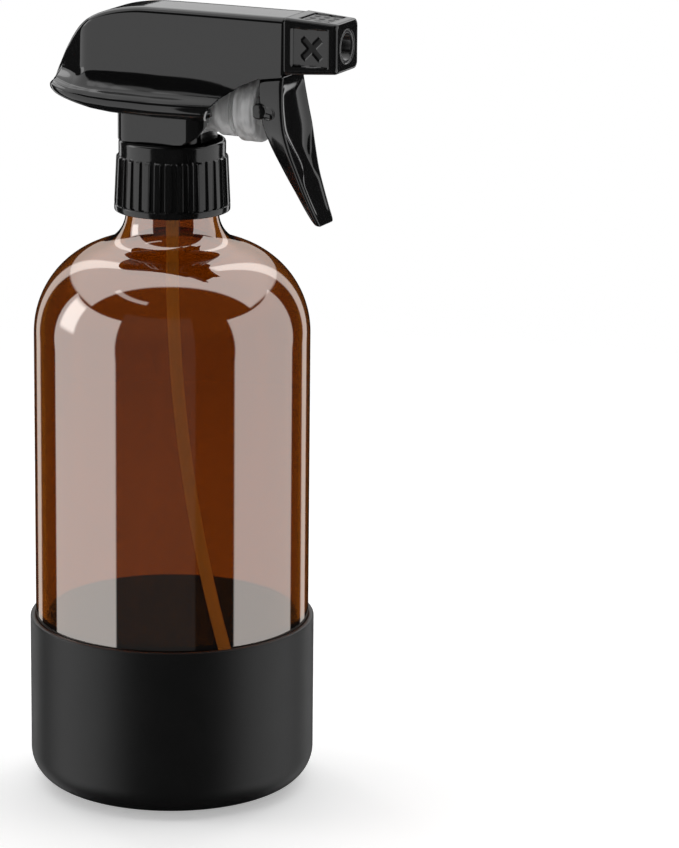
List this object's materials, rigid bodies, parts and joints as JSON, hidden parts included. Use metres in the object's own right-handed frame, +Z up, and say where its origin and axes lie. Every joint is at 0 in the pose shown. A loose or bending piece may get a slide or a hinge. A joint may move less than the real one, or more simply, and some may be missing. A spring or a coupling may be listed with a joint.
{
  "type": "spray bottle",
  "caption": "Amber glass Boston-round spray bottle with a black trigger pump head, ribbed screw cap, dip tube and a black silicone base sleeve.",
  "frame": {"origin": "centre of the silicone sleeve's flat underside, on the floor and on the bottle's axis", "axes": "+Z up along the bottle's axis, +X the way the nozzle sprays, Y across the bottle"},
  "size_m": [0.0896, 0.078, 0.2161],
  "materials": {
    "amber_glass": "clear amber, glossy",
    "silicone": "satin black silicone",
    "cap_plastic": "glossy black, moulded ribs",
    "gasket_foam": "matte white foam",
    "retainer_plastic": "natural moulded",
    "tube_plastic": "translucent natural",
    "ball_steel": "polished",
    "pump_plastic": "translucent natural",
    "seal_plastic": "soft natural",
    "spring_steel": "drawn wire",
    "trigger_plastic": "glossy black",
    "shroud_plastic": "glossy black",
    "nozzle_plastic": "glossy black, moulded marks",
    "insert_plastic": "glossy dark grey"
  },
  "bodies": {
    "bottle": {"glass_bottle": "amber_glass", "silicone_sleeve": "silicone"},
    "head": {"pump_body": "pump_plastic", "shroud": "shroud_plastic", "tube_retainer": "retainer_plastic", "neck_gasket": "gasket_foam", "dip_tube": "tube_plastic", "riser_plug": "retainer_plastic", "spinner": "seal_plastic", "nozzle_seal": "gasket_foam"},
    "cap": {"screw_cap": "cap_plastic"},
    "trigger": {"trigger": "trigger_plastic"},
    "piston": {"piston": "pump_plastic", "piston_seal": "seal_plastic", "return_spring": "spring_steel"},
    "nozzle": {"nozzle": "nozzle_plastic", "orifice_insert": "insert_plastic"},
    "inlet_ball": {"inlet_ball": "ball_steel"},
    "outlet_ball": {"outlet_ball": "ball_steel"}
  },
  "joints": [
    {"name": "head_lift", "type": "slide", "parent": "bottle", "child": "head", "axis": [0, 0, 1], "range_m": [0, 0.00423]},
    {"name": "cap_turn", "type": "hinge", "parent": "head", "child": "cap", "pos_m": [0, 0, 0.17], "axis": [0, 0, 1], "range_deg": [0, 360]},
    {"name": "trigger_pull", "type": "hinge", "parent": "head", "child": "trigger", "pos_m": [0.03, 0, 0.2044], "axis": [0, 1, 0], "range_deg": [0, 24]},
    {"name": "piston_slide", "type": "slide", "parent": "head", "child": "piston", "axis": [-1, 0, 0], "range_m": [0, 0.00555], "stiffness_N_per_m": 1200, "springref_m": -0.008, "deforming": ["return_spring"]},
    {"name": "nozzle_turn", "type": "hinge", "parent": "head", "child": "nozzle", "pos_m": [0.0365, 0, 0.2085], "axis": [1, 0, 0], "continuous": true},
    {"name": "inlet_ball_lift", "type": "slide", "parent": "head", "child": "inlet_ball", "axis": [0, 0, 1], "range_m": [0, 0.001]},
    {"name": "outlet_ball_lift", "type": "slide", "parent": "head", "child": "outlet_ball", "axis": [0, 0, 1], "range_m": [0, 0.0008]}
  ],
  "couplings": [
    {"joint": "trigger_pull", "follows": "piston_slide", "rad_per_m": 75.44},
    {"joint": "cap_turn", "follows": "head_lift", "rad_per_m": 1485.3}
  ]
}
